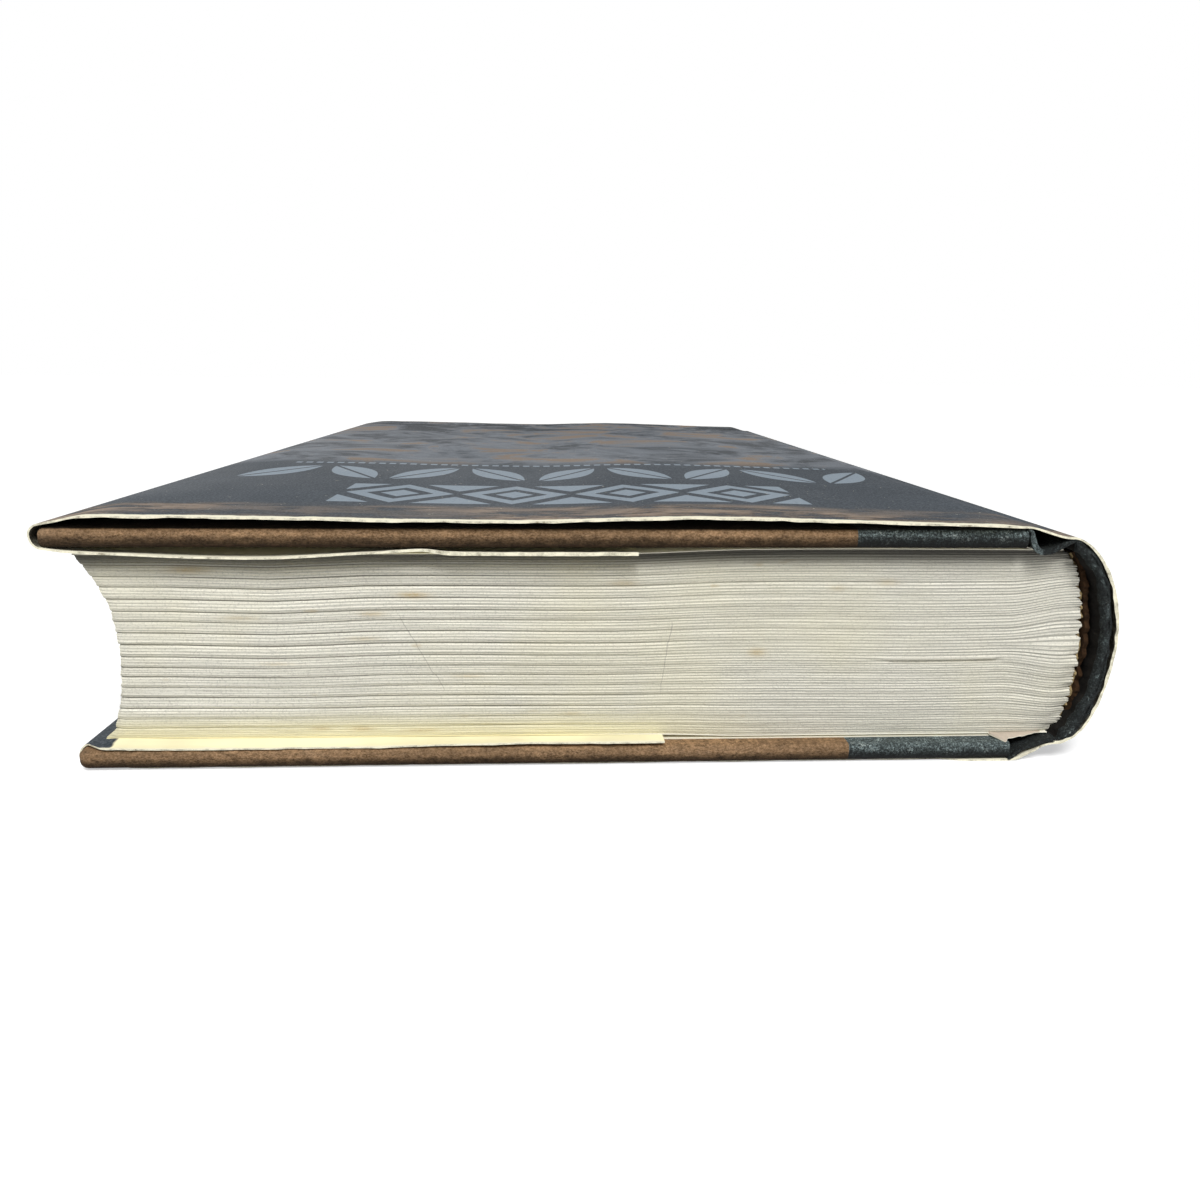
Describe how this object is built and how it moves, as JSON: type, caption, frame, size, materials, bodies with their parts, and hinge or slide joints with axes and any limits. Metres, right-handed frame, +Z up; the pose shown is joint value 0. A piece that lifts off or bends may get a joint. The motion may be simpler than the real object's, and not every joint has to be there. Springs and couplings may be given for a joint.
{
  "type": "hardback book",
  "caption": "Quarter-bound hardback book in a folded dust jacket, with a rounded hollow back, French joints and two covers that open on cloth hinges, lying on its back cover.",
  "frame": {"origin": "middle of the footprint of the closed book, on the surface it lies on", "axes": "+Z up through the front cover, +X from the fore edge to the spine, +Y from the head to the tail of the book"},
  "size_m": [0.1664, 0.241, 0.0399],
  "materials": {
    "pages": "matte",
    "endpaper": "matte",
    "board": "matte",
    "cover_paper": "matte",
    "spine_cloth": "matte",
    "mull": "matte",
    "lining": "matte",
    "jacket": "satin"
  },
  "bodies": {
    "book_block": {"text_block": "pages", "front_flyleaf": "endpaper", "back_flyleaf": "endpaper", "spine_mull": "mull", "spine_lining": "lining", "spine_inlay": "board", "spine_cloth": "spine_cloth", "jacket_spine": "jacket", "front_joint_cloth": "spine_cloth", "jacket_front_joint": "jacket", "front_endpaper_hinge": "endpaper", "back_joint_cloth": "spine_cloth", "jacket_back_joint": "jacket", "back_endpaper_hinge": "endpaper"},
    "front_cover": {"front_board": "board", "front_cover_paper": "cover_paper", "front_cover_cloth": "spine_cloth", "front_pastedown": "endpaper", "jacket_front": "jacket"},
    "back_cover": {"back_board": "board", "back_cover_paper": "cover_paper", "back_cover_cloth": "spine_cloth", "back_pastedown": "endpaper", "jacket_back": "jacket"}
  },
  "joints": [
    {"name": "front_cover_hinge", "type": "hinge", "parent": "book_block", "child": "front_cover", "pos_m": [0.07348, 0, 0.0352], "axis": [0, 1, 0], "range_deg": [0, 180], "deforming": ["front_joint_cloth", "jacket_front_joint", "front_endpaper_hinge"]},
    {"name": "back_cover_hinge", "type": "hinge", "parent": "book_block", "child": "back_cover", "pos_m": [0.07498, 0, 0.0032], "axis": [0, -1, 0], "range_deg": [0, 180], "deforming": ["back_joint_cloth", "jacket_back_joint", "back_endpaper_hinge"]}
  ]
}
